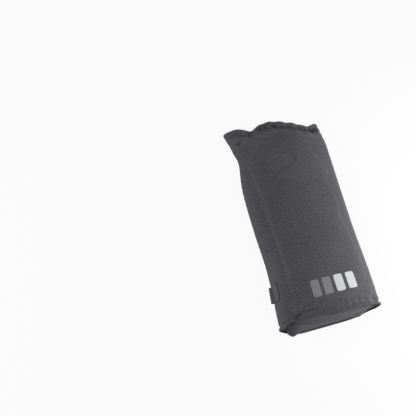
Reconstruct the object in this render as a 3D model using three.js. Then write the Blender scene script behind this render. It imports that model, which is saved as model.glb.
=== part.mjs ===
// A padded fork protector: a soft sleeve that slips over the ends of a bicycle's front fork.
// It lies on its back panel as it comes to rest. +X runs across it, +Y towards its mouth and +Z up out of its
// front panel. The origin is on the resting plane, under the middle of the back panel.
// Lengths are in millimetres.
import * as THREE from "three";

// Driving dimensions of the sleeve
const BODY_LENGTH = 358; // front panel, from the bottom seam to the rim of the mouth
const BODY_WIDTH = 178; // across the side seams
const FRONT_RISE = 36; // front panel above the side seams, at the bottom end
const SEAM_HEIGHT = 28; // side seams above the resting plane, at the bottom end
const MOUTH_WIDTH = 180;
const MOUTH_RISE = 29; // front panel above the side seams, at the mouth
const MOUTH_SEAM_HEIGHT = 11; // side seams above the resting plane, at the mouth
const BACK_PRESS = 2.5; // how far the resting plane flattens the back panel
const PRESS_EASE = 1.5; // and over what rise it lifts off

// Layers, from the outside in
const CLOTH = 1.0; // coated outer cloth
const LINING = 0.8;
const PAD = 5.0; // foam
const LAYER_GAP = 0.5; // between two layers
const SEAM_GAP = 0.3; // between the edges of two panels that are sewn together

// Hem of the mouth, with the elastic in it
const HEM_DEPTH = 14; // width of the folded hem
const ELASTIC_WIDTH = 8;
const ELASTIC_THICK = 1.2;
const HEM_DRAW = 6; // the elastic draws the front of the hem in by this much, off the end of the foam
const HEM_SLOPE = 12; // length of that step, up to the elastic
const PAD_STOP = 18; // the foam stops this far below the mouth

// Bottom panel, set in behind the welt
const WELT = 3.5; // how far the body panels stand proud of the bottom panel
const BOTTOM_BULGE = 2.5; // the bottom panel swells by this much in its middle

// Woven label in the left side seam
const LABEL_WIDTH = 28; // along the seam
const LABEL_REACH = 7; // out of the seam
const LABEL_START = 47; // above the bottom seam
const LABEL_PLY = 0.7; // thickness of its ribbon
const LABEL_BEND = 0.9; // inner radius of the ribbon's fold

// The lie of the cloth. Shares are of the body's length, and places across run from -1 at the left
// to 1 at the right.
const LEFT_WAIST = 8; // the left seam draws in below the mouth
const LEFT_FLARE = 9; // and flares out again at its corner
const FLARE_LENGTH = 48;
const WAIST_SPAN = 0.8; // length of the waist, as a share of the flare's
const RIGHT_SHOULDER = 7; // the right corner of the mouth is rounded off by this much
const SHOULDER_SPAN = 1.2; // over this share of the flare's length
const LEFT_DRAW = 5; // the left side draws in above the label
const LEFT_DRAW_AT = 0.27; // at this share of the length
const LEFT_DRAW_SPAN = 0.17; // and fades out over this one
const RIGHT_SPREAD = 5; // the lower right side spreads
const SPREAD_FROM = 0.05; // up to this share of the length
const SPREAD_TO = 0.45; // and fades out by this one
const MOUTH_WIDTH_FROM = 0.3; // share of the length above which the width turns into the mouth's
const MOUTH_SHAPE_FROM = 0.2; // and above which the section does
const FRONT_SQUARE = 3.3; // power of the front arch at the bottom, and at the mouth
const FRONT_ROUND = 1.9;
const BACK_SQUARE = 2.8; // power of the back arch at the bottom, and at the mouth
const BACK_ROUND = 2.2;
const CORNER_SLIM = 2.2; // at the mouth a layer narrows this much faster than its depth
const CROWN = 5; // the front panel swells in its middle
const GATHER = 1.6; // depth of the gathers in the hem
const GATHER_PITCH = 22; // from one gather to the next
const GATHER_FROM = 2.2; // they run out over this many hem widths below the rim
const GATHER_FULL = 0.4; // and are full this many below it
const CLOTH_FROM = 0.3; // share of an arch's height from which its cloth lies in folds

// Folds of the front panel: depth, middle and half width across, middle and half length up the sleeve,
// and how far the fold moves across for each millimetre up
const FRONT_FOLDS = [
  { depth: 5, at: -0.78, wide: 0.14, up: 322, long: 14, drift: 0 }, // pinched below the mouth's left corner
  { depth: 4, at: -0.72, wide: 0.07, up: 14, long: 16, drift: -0.0045 }, // out of the left bottom corner
  { depth: 2.8, at: 0.84, wide: 0.06, up: 12, long: 12, drift: 0.004 }, // out of the right bottom corner
];

// The mouth's rim above its mean line, as swells: rise, middle and half width across
const FRONT_RIM = [[6, -0.86, 0.2], [8, -0.18, 0.4], [-6.5, -0.6, 0.14], [-6, 0.67, 0.22]];
const BACK_RIM = [[5, -0.9, 0.22], [4, -0.05, 0.45], [-3, -0.55, 0.14]];
const RIM_FROM = 0.72; // share of the length from which the rows follow the rim
const RIM_MEET = 0.7; // share of an arch's height from which its rim is free of the other arch's

// The bottom end leans: the back of the sleeve reaches further down than its front
const BOTTOM_SKEW_LEFT = 20; // by this much at the left
const BOTTOM_SKEW_RIGHT = 4; // and at the right
const FRONT_SKEW_LEFT = 6.5; // the front's lower edge also runs down by this much, to the left
const CORNER_LIFT_LEFT = 10; // its corners are turned back up by this much
const CORNER_LIFT_RIGHT = 5;
const CORNER_LIFT_WIDTH = 25;
const LEAN_TO = 0.3; // the lean fades out by this share of the length

// Fineness of the mesh
const FRONT_COLUMNS = 30;
const BACK_COLUMNS = 22;
const ARC_STEPS = 240; // steps used to space the columns evenly
const ROW_APART = 5; // least distance from a row of points to the label's rows

const WALL = CLOTH + LAYER_GAP + PAD + LAYER_GAP + LINING;
const HEM_LEG = CLOTH + 2 * LAYER_GAP + ELASTIC_THICK; // depth at which the hem's inner leg starts
const HEM_TURN = 1.6 * CLOTH; // cloth in the turn of the hem, at the rim
const TURN_ROUND = 0.4; // the turn's outer corners are rounded by this share of the cloth's thickness
const ELASTIC_TOP = BODY_LENGTH - HEM_TURN - LAYER_GAP;
const ELASTIC_START = ELASTIC_TOP - ELASTIC_WIDTH;
const SIDE_PAD_START = WELT + CLOTH + LAYER_GAP + PAD + LAYER_GAP; // above the bottom panel and its foam

const { clamp, lerp, smoothstep } = THREE.MathUtils;
const bump = (x, centre, width) => Math.exp(-(((x - centre) / width) ** 2));
const swell = (list, across) =>
  list.reduce((sum, [rise, at, wide]) => sum + rise * bump(across, at, wide), 0);

// A height that is never below 0, with its step at 0 rounded
const eased = (x) => (x > PRESS_EASE ? x : Math.max(0, x + PRESS_EASE) ** 2 / (4 * PRESS_EASE));

// Distance of each side seam from the middle, at a height above the bottom seam
function halfWidths(height) {
  const up = height / BODY_LENGTH;
  const corner = BODY_LENGTH - FLARE_LENGTH;
  const shoulderStart = BODY_LENGTH - SHOULDER_SPAN * FLARE_LENGTH;
  const body = lerp(BODY_WIDTH, MOUTH_WIDTH, smoothstep(up, MOUTH_WIDTH_FROM, 1)) / 2;
  const drawn = LEFT_DRAW * bump(up, LEFT_DRAW_AT, LEFT_DRAW_SPAN);
  const waist = LEFT_WAIST * bump(height, corner, WAIST_SPAN * FLARE_LENGTH);
  const flare = LEFT_FLARE * smoothstep(height, corner, BODY_LENGTH);
  const spread = RIGHT_SPREAD * (1 - smoothstep(up, SPREAD_FROM, SPREAD_TO));
  const shoulder = RIGHT_SHOULDER * smoothstep(height, shoulderStart, BODY_LENGTH) ** 2;
  return { left: body - drawn - waist + flare, right: body + spread - shoulder };
}

// The section of the sleeve at a height: a front and a back arch that meet at the side seams.
// Near 2 an arch is an ellipse, and a larger power squares its corners.
function sectionAt(height) {
  const toMouth = smoothstep(height / BODY_LENGTH, MOUTH_SHAPE_FROM, 1);
  return {
    ...halfWidths(height),
    seam: lerp(SEAM_HEIGHT, MOUTH_SEAM_HEIGHT, height / BODY_LENGTH),
    rise: lerp(FRONT_RISE, MOUTH_RISE, toMouth),
    frontPower: lerp(FRONT_SQUARE, FRONT_ROUND, toMouth),
    backPower: lerp(BACK_SQUARE, BACK_ROUND, toMouth),
    slim: lerp(1, CORNER_SLIM, toMouth), // how much faster than its depth a layer narrows
  };
}

// Angles that space an arch's columns evenly along it, from the left seam to the right seam
function evenAngles(section, front, columns) {
  const power = front ? section.frontPower : section.backPower;
  const width = (section.left + section.right) / 2;
  const high = front ? section.rise : section.seam;
  const along = [0];
  const point = (angle) => [
    -width * Math.sign(Math.cos(angle)) * Math.abs(Math.cos(angle)) ** (2 / power),
    high * Math.sin(angle) ** (2 / power),
  ];
  for (let i = 1; i <= ARC_STEPS; i++) {
    const [x0, z0] = point((Math.PI * (i - 1)) / ARC_STEPS);
    const [x1, z1] = point((Math.PI * i) / ARC_STEPS);
    along.push(along[i - 1] + Math.hypot(x1 - x0, z1 - z0));
  }
  const angles = [0];
  let i = 1;
  for (let column = 1; column < columns; column++) {
    const target = (along[ARC_STEPS] * column) / columns;
    while (along[i] < target) i++;
    const share = (target - along[i - 1]) / (along[i] - along[i - 1]);
    angles.push((Math.PI * (i - 1 + share)) / ARC_STEPS);
  }
  return [...angles, Math.PI];
}

// How far the front cloth stands out from its plain arch, across (-1 to 1) and up the sleeve
function frontRelief(across, height) {
  const crown = CROWN * Math.cos((clamp(across, -1, 1) * Math.PI) / 2);
  const drawn = HEM_DRAW * smoothstep(height, ELASTIC_START - HEM_SLOPE, ELASTIC_START);
  let relief = crown - drawn;
  for (const { depth, at, wide, up, long, drift } of FRONT_FOLDS) {
    relief -= depth * bump(across - drift * height, at, wide) * bump(height, up, long);
  }
  return relief;
}

// The rim's rise, blended across the side seams so that front and back meet there
function rimAt(front, across, arch) {
  const meet = (swell(FRONT_RIM, across) + swell(BACK_RIM, across)) / 2;
  const own = swell(front ? FRONT_RIM : BACK_RIM, across);
  return lerp(meet, own, smoothstep(arch, 0, RIM_MEET));
}

// How far a point moves down the sleeve, because its bottom end leans
function leanAt(x, z, height) {
  const up = z / (SEAM_HEIGHT + FRONT_RISE);
  const across = clamp(x / BODY_WIDTH + 0.5, 0, 1);
  const back = lerp(BOTTOM_SKEW_LEFT, BOTTOM_SKEW_RIGHT, across);
  const front = lerp(FRONT_SKEW_LEFT, 0, across);
  const left = CORNER_LIFT_LEFT * bump(x, -BODY_WIDTH / 2, CORNER_LIFT_WIDTH);
  const right = CORNER_LIFT_RIGHT * bump(x, BODY_WIDTH / 2, CORNER_LIFT_WIDTH);
  const fading = 1 - smoothstep(height / BODY_LENGTH, 0, LEAN_TO);
  return lerp(back - left - right, front, smoothstep(up, 0, 1)) * fading;
}

// A point of the sleeve: angle runs over an arch, height up the sleeve, depth into the wall from the outer
// face. All layers share the folds of the outer face, so they nest. inset draws the point in towards the
// middle of the section, for the panels across the bottom end.
function place(front, angle, height, depth, inset = 1) {
  const section = sectionAt(height);
  const power = front ? section.frontPower : section.backPower;
  const reach = -Math.sign(Math.cos(angle)) * Math.abs(Math.cos(angle)) ** (2 / power);
  const arch = Math.sin(angle) ** (2 / power);
  const side = reach < 0 ? section.left : section.right;
  const across = (side * reach) / (BODY_WIDTH / 2);
  const cloth = smoothstep(arch, CLOTH_FROM, 1);
  const hems = (BODY_LENGTH - height) / HEM_DEPTH;
  const gather = GATHER * (1 - smoothstep(hems, GATHER_FULL, GATHER_FROM));
  const wave = Math.sin((2 * Math.PI * side * reach) / GATHER_PITCH);
  let z;
  if (front) {
    const relief = cloth * (frontRelief(across, height) + gather * wave);
    z = section.seam + SEAM_GAP / 2 + ((section.rise - depth) * arch + relief) * inset;
  } else {
    const pressed = section.seam - SEAM_GAP / 2 - (section.seam + BACK_PRESS - depth) * arch;
    const lifted = depth + eased(pressed - depth) + cloth * gather * (1 + wave);
    z = lerp(section.seam - SEAM_GAP / 2, lifted, inset);
  }
  const rim = smoothstep(height / BODY_LENGTH, RIM_FROM, 1) * rimAt(front, across, arch);
  const x = (side - section.slim * depth) * reach * inset;
  return new THREE.Vector3(x, height - BODY_LENGTH / 2 + rim - leanAt(x, z, height), z);
}

// Indexed geometry with its faces turned outwards
function geometryFrom(points, faces) {
  const volume = faces.reduce((sum, [a, b, c]) => sum + points[a].dot(points[b].clone().cross(points[c])), 0);
  const turned = volume < 0 ? faces.map(([a, b, c]) => [a, c, b]) : faces;
  const geometry = new THREE.BufferGeometry().setFromPoints(points);
  geometry.setIndex(turned.flat());
  geometry.computeVertexNormals();
  return geometry;
}

// Solid wall from a grid: each column runs up the wall as a list of [outer, inner] points.
// An open wall gets an end face on its first and last column; a closed one joins them.
function wallSolid(columns, closed) {
  const steps = columns[0].length;
  const points = columns.flat(2);
  const outer = (column, step) => 2 * ((column % columns.length) * steps + step);
  const inner = (column, step) => outer(column, step) + 1;
  const faces = [];
  const quad = (a, b, c, d) => faces.push([a, b, c], [a, c, d]);
  const spans = closed ? columns.length : columns.length - 1;
  for (let i = 0; i < spans; i++) {
    for (let k = 0; k < steps - 1; k++) {
      quad(outer(i, k), outer(i + 1, k), outer(i + 1, k + 1), outer(i, k + 1));
      quad(inner(i + 1, k + 1), inner(i + 1, k), inner(i, k), inner(i, k + 1));
    }
    quad(outer(i, 0), inner(i, 0), inner(i + 1, 0), outer(i + 1, 0));
    quad(outer(i, steps - 1), outer(i + 1, steps - 1), inner(i + 1, steps - 1), inner(i, steps - 1));
  }
  if (!closed) {
    for (let k = 0; k < steps - 1; k++) {
      quad(outer(0, k), outer(0, k + 1), inner(0, k + 1), inner(0, k));
      quad(outer(spans, k), inner(spans, k), inner(spans, k + 1), outer(spans, k + 1));
    }
  }
  return geometryFrom(points, faces);
}

// Columns of a wall swept over one arch. The wall runs up the sleeve in steps of [outer, inner],
// each a [height, depth]. skip leaves out that many columns at its right end.
function columnsOf(front, wall, skip = 0) {
  const count = front ? FRONT_COLUMNS : BACK_COLUMNS;
  const spaced = ([height]) => [height, evenAngles(sectionAt(height), front, count)];
  const angles = new Map(wall.flat().map(spaced));
  return Array.from({ length: count + 1 - skip }, (_, i) =>
    wall.map((step) => step.map(([height, depth]) => place(front, angles.get(height)[i], height, depth))),
  );
}

// A panel that covers one arch, from side seam to side seam
const panel = (front, wall) => wallSolid(columnsOf(front, wall), false);

// A band that goes right round the sleeve
function band(wall) {
  const under = columnsOf(false, wall, 1).slice(1).reverse();
  return wallSolid([...columnsOf(true, wall), ...under], true);
}

// Heights at which the layers have a row of points: along the foam, at the label, at the welt and in the hem
const labelRows = [LABEL_START, LABEL_START + LABEL_WIDTH];
const PAD_SHARES = [0, 0.05, 0.34, 0.5, 0.64, 0.76, 0.85, 0.92, 1];
const padRows = PAD_SHARES
  .map((share) => lerp(SIDE_PAD_START, BODY_LENGTH - PAD_STOP, share))
  .filter((height) => labelRows.every((row) => Math.abs(row - height) > ROW_APART))
  .concat(labelRows)
  .sort((a, b) => a - b);
const bodyRows = [0, WELT, ...padRows];
const hemRows = [BODY_LENGTH - HEM_DEPTH, ELASTIC_START];
const layer = (rows, outer, inner) => rows.map((height) => [[height, outer], [height, inner]]);

// Outer cloth: up the body, round the rim of the mouth, and down inside as the hem's inner leg
function clothWall() {
  const rim = BODY_LENGTH;
  const turn = rim - HEM_TURN;
  const legOut = HEM_LEG + CLOTH;
  const round = TURN_ROUND * CLOTH;
  const quarter = (HEM_LEG - CLOTH) / 4;
  const fold = [
    [[rim - CLOTH, 0], [turn, CLOTH]],
    [[rim, round], [turn, CLOTH + quarter]],
    [[rim, legOut - round], [turn, HEM_LEG - quarter]],
    [[rim - CLOTH, legOut], [turn, HEM_LEG]],
  ];
  const outside = layer([...bodyRows, ...hemRows], 0, CLOTH);
  const leg = layer([...hemRows].reverse(), legOut, HEM_LEG);
  return [...outside, ...fold, ...leg];
}

// Foam, between the bottom layers and the hem
const padWall = () => layer(padRows, CLOTH + LAYER_GAP, CLOTH + LAYER_GAP + PAD);

// Lining: over the foam, then outwards to the hem's inner leg
function liningWall() {
  const hemmed = HEM_LEG + CLOTH + LAYER_GAP;
  return [...layer(padRows, WALL - LINING, WALL), ...layer(hemRows, hemmed, hemmed + LINING)];
}

// Elastic, inside the fold of the hem
function elasticWall() {
  const outer = CLOTH + LAYER_GAP;
  return layer([ELASTIC_START, ELASTIC_TOP], outer, outer + ELASTIC_THICK);
}

// A piece across the bottom end, given by a path of [inset, height, depth] steps that runs from its middle
// out to its edge and back to its middle
function bottomPiece(path) {
  const spokes = [];
  for (const front of [true, false]) {
    const angles = evenAngles(sectionAt(0), front, front ? FRONT_COLUMNS : BACK_COLUMNS);
    const kept = front ? angles.slice(0, -1) : angles.slice(1).reverse();
    const ring = path.slice(1, -1);
    for (const angle of kept) {
      spokes.push(ring.map(([inset, height, depth]) => place(front, angle, height, depth, inset)));
    }
  }
  const steps = path.length - 2;
  const ends = [path[0], path.at(-1)];
  const middles = ends.map(([inset, height, depth]) => place(true, Math.PI / 2, height, depth, inset));
  const first = spokes.length * steps;
  const faces = [];
  for (let i = 0; i < spokes.length; i++) {
    const next = (i + 1) % spokes.length;
    const last = steps - 1;
    faces.push([first, next * steps, i * steps], [first + 1, i * steps + last, next * steps + last]);
    for (let k = 0; k < steps - 1; k++) {
      const [a, b] = [i * steps + k, next * steps + k];
      faces.push([a, b, b + 1], [a, b + 1, a + 1]);
    }
  }
  return geometryFrom([...spokes.flat(), ...middles], faces);
}

// Rings of a plate across the bottom end, from its middle to its edge, with its swell
const RINGS = [0, 0.6, 1];
const plateRings = (height, depth) =>
  RINGS.map((inset) => [inset, height - BOTTOM_BULGE * (1 - inset ** 2), depth]);

// Bottom panel: a plate whose turned-up edge is the seam allowance
function bottomCloth() {
  const depth = CLOTH + LAYER_GAP;
  const top = SIDE_PAD_START - LAYER_GAP;
  const below = plateRings(WELT, depth);
  const above = plateRings(WELT + CLOTH, depth + CLOTH).reverse();
  return bottomPiece([...below, [1, top, depth], [1, top, depth + CLOTH], ...above]);
}

// Flat layer over the bottom panel
const bottomLayer = (height, thick, depth) =>
  bottomPiece([...plateRings(height, depth), ...plateRings(height + thick, depth).reverse()]);

// Folded ribbon label: a loop whose two plies go into the left side seam
function labelRibbon() {
  const outer = LABEL_BEND + LABEL_PLY;
  const middle = sectionAt(LABEL_START + LABEL_WIDTH / 2).seam;
  const bendX = -LABEL_REACH + outer;
  const profile = new THREE.Shape();
  profile.moveTo(0, outer);
  profile.lineTo(bendX, outer);
  profile.absarc(bendX, 0, outer, Math.PI / 2, (3 * Math.PI) / 2, false);
  profile.lineTo(0, -outer);
  profile.lineTo(0, -LABEL_BEND);
  profile.lineTo(bendX, -LABEL_BEND);
  profile.absarc(bendX, 0, LABEL_BEND, (3 * Math.PI) / 2, Math.PI / 2, true);
  profile.lineTo(0, LABEL_BEND);
  const extrusion = { depth: LABEL_WIDTH, bevelEnabled: false, curveSegments: 4 };
  const ribbon = new THREE.ExtrudeGeometry(profile, extrusion);
  ribbon.rotateX(-Math.PI / 2); // the extrusion now runs along +Y
  const [low, mid, high] = [0, 0.5, 1].map((share) => place(true, 0, LABEL_START + share * LABEL_WIDTH, 0));
  const bow = Math.min(0, mid.x - (low.x + high.x) / 2); // how far the seam bows out past its chord
  ribbon.rotateZ(-Math.atan2(high.x - low.x, high.y - low.y));
  ribbon.translate(low.x + bow - SEAM_GAP, low.y, middle);
  return ribbon;
}

const finish = (name, color, roughness) =>
  new THREE.MeshStandardMaterial({ name, color, roughness, metalness: 0 });
const outerCloth = finish("outer_cloth", 0x4a4a4d, 0.85);
const foam = finish("foam", 0x2c2c2e, 1);
const lining = finish("lining", 0x1c1c1e, 0.75);
const ribbon = finish("ribbon", 0x3c3e3a, 0.8);
const elastic = finish("elastic", 0x18181a, 0.9);

const sleeve = new THREE.Group();
function add(name, geometry, material) {
  const mesh = new THREE.Mesh(geometry, material);
  mesh.name = name;
  sleeve.add(mesh);
}

add("front_panel", panel(true, clothWall()), outerCloth);
add("back_panel", panel(false, clothWall()), outerCloth);
add("front_padding", panel(true, padWall()), foam);
add("back_padding", panel(false, padWall()), foam);
add("front_lining", panel(true, liningWall()), lining);
add("back_lining", panel(false, liningWall()), lining);
add("mouth_elastic", band(elasticWall()), elastic);
add("bottom_panel", bottomCloth(), outerCloth);
add("bottom_padding", bottomLayer(WELT + CLOTH + LAYER_GAP, PAD, 2 * CLOTH + 3 * LAYER_GAP), foam);
add("bottom_lining", bottomLayer(SIDE_PAD_START, LINING, WALL + LAYER_GAP), lining);
add("side_label", labelRibbon(), ribbon);

export default sleeve;
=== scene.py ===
"""A padded fork protector: a soft sleeve that slips over the ends of a bicycle's front fork.

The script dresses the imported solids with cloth, foam, lining, elastic, a woven label and stitching. All of
them are swept over one map of the sleeve, so the layers nest as they do in the solids. The map works in
millimetres, with the origin on the resting plane under the middle of the back panel. Meshes are in metres.
"""

import logging
import math
from dataclasses import dataclass, field
from enum import Enum
from typing import Sequence

import bpy
import numpy as np
from mathutils import Matrix, Vector


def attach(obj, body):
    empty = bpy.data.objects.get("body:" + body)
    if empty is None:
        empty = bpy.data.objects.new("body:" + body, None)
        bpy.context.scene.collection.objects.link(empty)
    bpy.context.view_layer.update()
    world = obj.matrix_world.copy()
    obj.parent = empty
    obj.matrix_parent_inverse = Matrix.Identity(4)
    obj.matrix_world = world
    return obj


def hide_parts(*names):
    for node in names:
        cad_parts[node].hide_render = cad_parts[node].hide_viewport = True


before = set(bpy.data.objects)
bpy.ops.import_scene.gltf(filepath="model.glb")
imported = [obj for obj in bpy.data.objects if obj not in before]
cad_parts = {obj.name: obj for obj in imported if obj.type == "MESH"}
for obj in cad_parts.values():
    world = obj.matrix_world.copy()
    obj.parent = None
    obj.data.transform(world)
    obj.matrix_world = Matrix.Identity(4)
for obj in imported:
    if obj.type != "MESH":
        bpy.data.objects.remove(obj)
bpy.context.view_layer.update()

Array = np.ndarray
Piece = bpy.types.Object
Material = bpy.types.Material
Colour = tuple[float, float, float]
MM = 0.001
BODY = "root"
WHITE = (1.0, 1.0, 1.0)
# layer of the cloth's own coordinates, and the angle in degrees from which an edge is sharp
OWN = "cloth"
SHARP_FROM = 55
# a seam: share of the arch at which it starts, its points, half the span of its normals, and how far
# the thread's middle stands over the cloth, in millimetres
SEAM_END = 0.01
SEAM_POINTS = 160
SEAM_ROW = 0.6
THREAD_LIFT = 0.12
log = logging.getLogger("fork_protector")


class Arch(Enum):
    """The two arches that meet at the side seams."""

    FRONT = "front"
    BACK = "back"


# width of the outer cloth across each arch, in millimetres
ARC = {Arch.FRONT: 236.0, Arch.BACK: 208.0}


class Slot(Enum):
    """Material slots of the pieces, which the log names."""

    CLOTH = "outer_cloth"
    FOAM = "foam"
    LINING = "lining"
    ELASTIC = "elastic"
    RIBBON = "ribbon"


def lerp(start: Array, end: Array, share: Array) -> Array:
    """Value at a share of the way from start to end."""
    return start + (end - start) * share


def smoothstep(x: Array, low: float, high: float) -> Array:
    """Smooth rise from 0 at low to 1 at high."""
    share = np.clip((x - low) / (high - low), 0, 1)
    return share * share * (3 - 2 * share)


def bump(x: Array, centre: float, width: float) -> Array:
    """Bell of height 1 round a centre."""
    return np.exp(-(((x - centre) / width) ** 2))


def swell(swells: Sequence[tuple[float, float, float]], across: Array) -> Array:
    """Sum of bells, each given by its rise, its middle and its half width."""
    return sum(rise * bump(across, at, wide) for rise, at, wide in swells)


@dataclass(frozen=True)
class Fold:
    """A fold of the front panel, as a bell-shaped hollow.

    depth is in millimetres, at and wide run across (-1 to 1), up and long up the sleeve in millimetres, and
    drift is how far the fold moves across for each millimetre up.
    """

    depth: float
    at: float
    wide: float
    up: float
    long: float
    drift: float = 0.0

    def sink(self, across: Array, height: Array) -> Array:
        """Depth of the hollow at points of the front."""
        beside_fold = across - self.drift * height
        return self.depth * bump(beside_fold, self.at, self.wide) * bump(height, self.up, self.long)


@dataclass(frozen=True)
class SleeveMap:
    """The lie of the sleeve: the same map as the solids', in millimetres, but for a finer side seam."""

    length: float = 358.0
    width: float = 178.0
    front_rise: float = 36.0
    seam_height: float = 28.0
    mouth_width: float = 180.0
    mouth_rise: float = 29.0
    mouth_seam_height: float = 11.0
    press: float = 2.5
    press_ease: float = 1.5
    seam_gap: float = 0.06
    hem_depth: float = 14.0
    hem_draw: float = 6.0
    hem_slope: float = 12.0
    elastic_start: float = 347.9
    elastic_top: float = 355.9
    left_waist: float = 8.0
    left_flare: float = 9.0
    flare_length: float = 48.0
    waist_span: float = 0.8
    right_shoulder: float = 7.0
    shoulder_span: float = 1.2
    left_draw: float = 5.0
    left_draw_at: float = 0.27
    left_draw_span: float = 0.17
    right_spread: float = 5.0
    spread_from: float = 0.05
    spread_to: float = 0.45
    mouth_width_from: float = 0.3
    mouth_shape_from: float = 0.2
    front_square: float = 3.3
    front_round: float = 1.9
    back_square: float = 2.8
    back_round: float = 2.2
    corner_slim: float = 2.2
    crown: float = 5.0
    gather: float = 1.6
    gather_pitch: float = 22.0
    gather_from: float = 2.2
    gather_full: float = 0.4
    cloth_from: float = 0.3
    folds: tuple[Fold, ...] = (
        Fold(5, -0.78, 0.14, 322, 14),
        Fold(4, -0.72, 0.07, 14, 16, -0.0045),
        Fold(2.8, 0.84, 0.06, 12, 12, 0.004),
    )
    front_rim: tuple[tuple[float, float, float], ...] = (
        (6, -0.86, 0.2), (8, -0.18, 0.4), (-6.5, -0.6, 0.14), (-6, 0.67, 0.22),
    )
    back_rim: tuple[tuple[float, float, float], ...] = ((5, -0.9, 0.22), (4, -0.05, 0.45), (-3, -0.55, 0.14))
    rim_from: float = 0.72
    rim_meet: float = 0.7
    front_skew_left: float = 6.5
    skew_left: float = 20.0
    skew_right: float = 4.0
    corner_lift_left: float = 10.0
    corner_lift_right: float = 5.0
    corner_lift_width: float = 25.0
    lean_to: float = 0.3
    arc_steps: int = 360

    def half_widths(self, height: Array) -> tuple[Array, Array]:
        """Distance of the left and the right side seam from the middle.

        Args:
            height: heights above the bottom seam.

        Returns:
            The left and the right half width at each height.
        """
        up = height / self.length
        corner = self.length - self.flare_length
        shoulder_start = self.length - self.shoulder_span * self.flare_length
        body = lerp(self.width, self.mouth_width, smoothstep(up, self.mouth_width_from, 1)) / 2
        drawn = self.left_draw * bump(up, self.left_draw_at, self.left_draw_span)
        waist = self.left_waist * bump(height, corner, self.waist_span * self.flare_length)
        flare = self.left_flare * smoothstep(height, corner, self.length)
        spread = self.right_spread * (1 - smoothstep(up, self.spread_from, self.spread_to))
        shoulder = self.right_shoulder * smoothstep(height, shoulder_start, self.length) ** 2
        return body - drawn - waist + flare, body + spread - shoulder

    def to_mouth(self, height: Array) -> Array:
        """Share of the way from the bottom's section to the mouth's."""
        return smoothstep(height / self.length, self.mouth_shape_from, 1)

    def power(self, arch: Arch, height: Array) -> Array:
        """Power of an arch: near 2 it is an ellipse, and a larger one squares its corners."""
        if arch is Arch.FRONT:
            return lerp(self.front_square, self.front_round, self.to_mouth(height))
        return lerp(self.back_square, self.back_round, self.to_mouth(height))

    def seam_level(self, height: Array) -> Array:
        """Height of the side seams above the resting plane."""
        return lerp(self.seam_height, self.mouth_seam_height, height / self.length)

    def front_over_seam(self, height: Array) -> Array:
        """Rise of the front arch above the side seams."""
        return lerp(self.front_rise, self.mouth_rise, self.to_mouth(height))

    def even_angles(self, arch: Arch, height: float, shares: Array) -> Array:
        """Angles of the points that lie at even shares of an arch's length.

        Args:
            arch: which arch.
            height: height of the section above the bottom seam.
            shares: shares of the arch, from 0 at the left seam to 1 at the right one.

        Returns:
            One angle for each share.
        """
        left, right = self.half_widths(height)
        power = self.power(arch, height)
        high = self.front_over_seam(height) if arch is Arch.FRONT else self.seam_level(height)
        angles = np.linspace(0, math.pi, self.arc_steps + 1)
        x = -(left + right) / 2 * np.sign(np.cos(angles)) * np.abs(np.cos(angles)) ** (2 / power)
        z = high * np.abs(np.sin(angles)) ** (2 / power)
        along = np.concatenate([[0], np.cumsum(np.hypot(np.diff(x), np.diff(z)))])
        return np.interp(shares * along[-1], along, angles)

    def front_relief(self, across: Array, height: Array) -> Array:
        """How far the front cloth stands out from its plain arch."""
        crown = self.crown * np.cos(np.clip(across, -1, 1) * math.pi / 2)
        drawn = self.hem_draw * smoothstep(height, self.elastic_start - self.hem_slope, self.elastic_start)
        return crown - drawn - sum(fold.sink(across, height) for fold in self.folds)

    def rim_rise(self, arch: Arch, across: Array, share: Array) -> Array:
        """Rise of the mouth's rim, blended across the side seams so that front and back meet there."""
        meet = (swell(self.front_rim, across) + swell(self.back_rim, across)) / 2
        own = swell(self.front_rim if arch is Arch.FRONT else self.back_rim, across)
        return lerp(meet, own, smoothstep(share, 0, self.rim_meet))

    def lean(self, x: Array, z: Array, height: Array) -> Array:
        """How far a point moves down the sleeve, because its bottom end leans."""
        up = z / (self.seam_height + self.front_rise)
        across = np.clip(x / self.width + 0.5, 0, 1)
        back = lerp(self.skew_left, self.skew_right, across)
        front = lerp(self.front_skew_left, 0.0, across)
        left = self.corner_lift_left * bump(x, -self.width / 2, self.corner_lift_width)
        right = self.corner_lift_right * bump(x, self.width / 2, self.corner_lift_width)
        fading = 1 - smoothstep(height / self.length, 0, self.lean_to)
        return lerp(back - left - right, front, smoothstep(up, 0, 1)) * fading

    def eased(self, rise: Array) -> Array:
        """A rise that is never below 0, with its step at 0 rounded."""
        rounded = np.maximum(0, rise + self.press_ease) ** 2 / (4 * self.press_ease)
        return np.where(rise > self.press_ease, rise, rounded)

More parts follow.
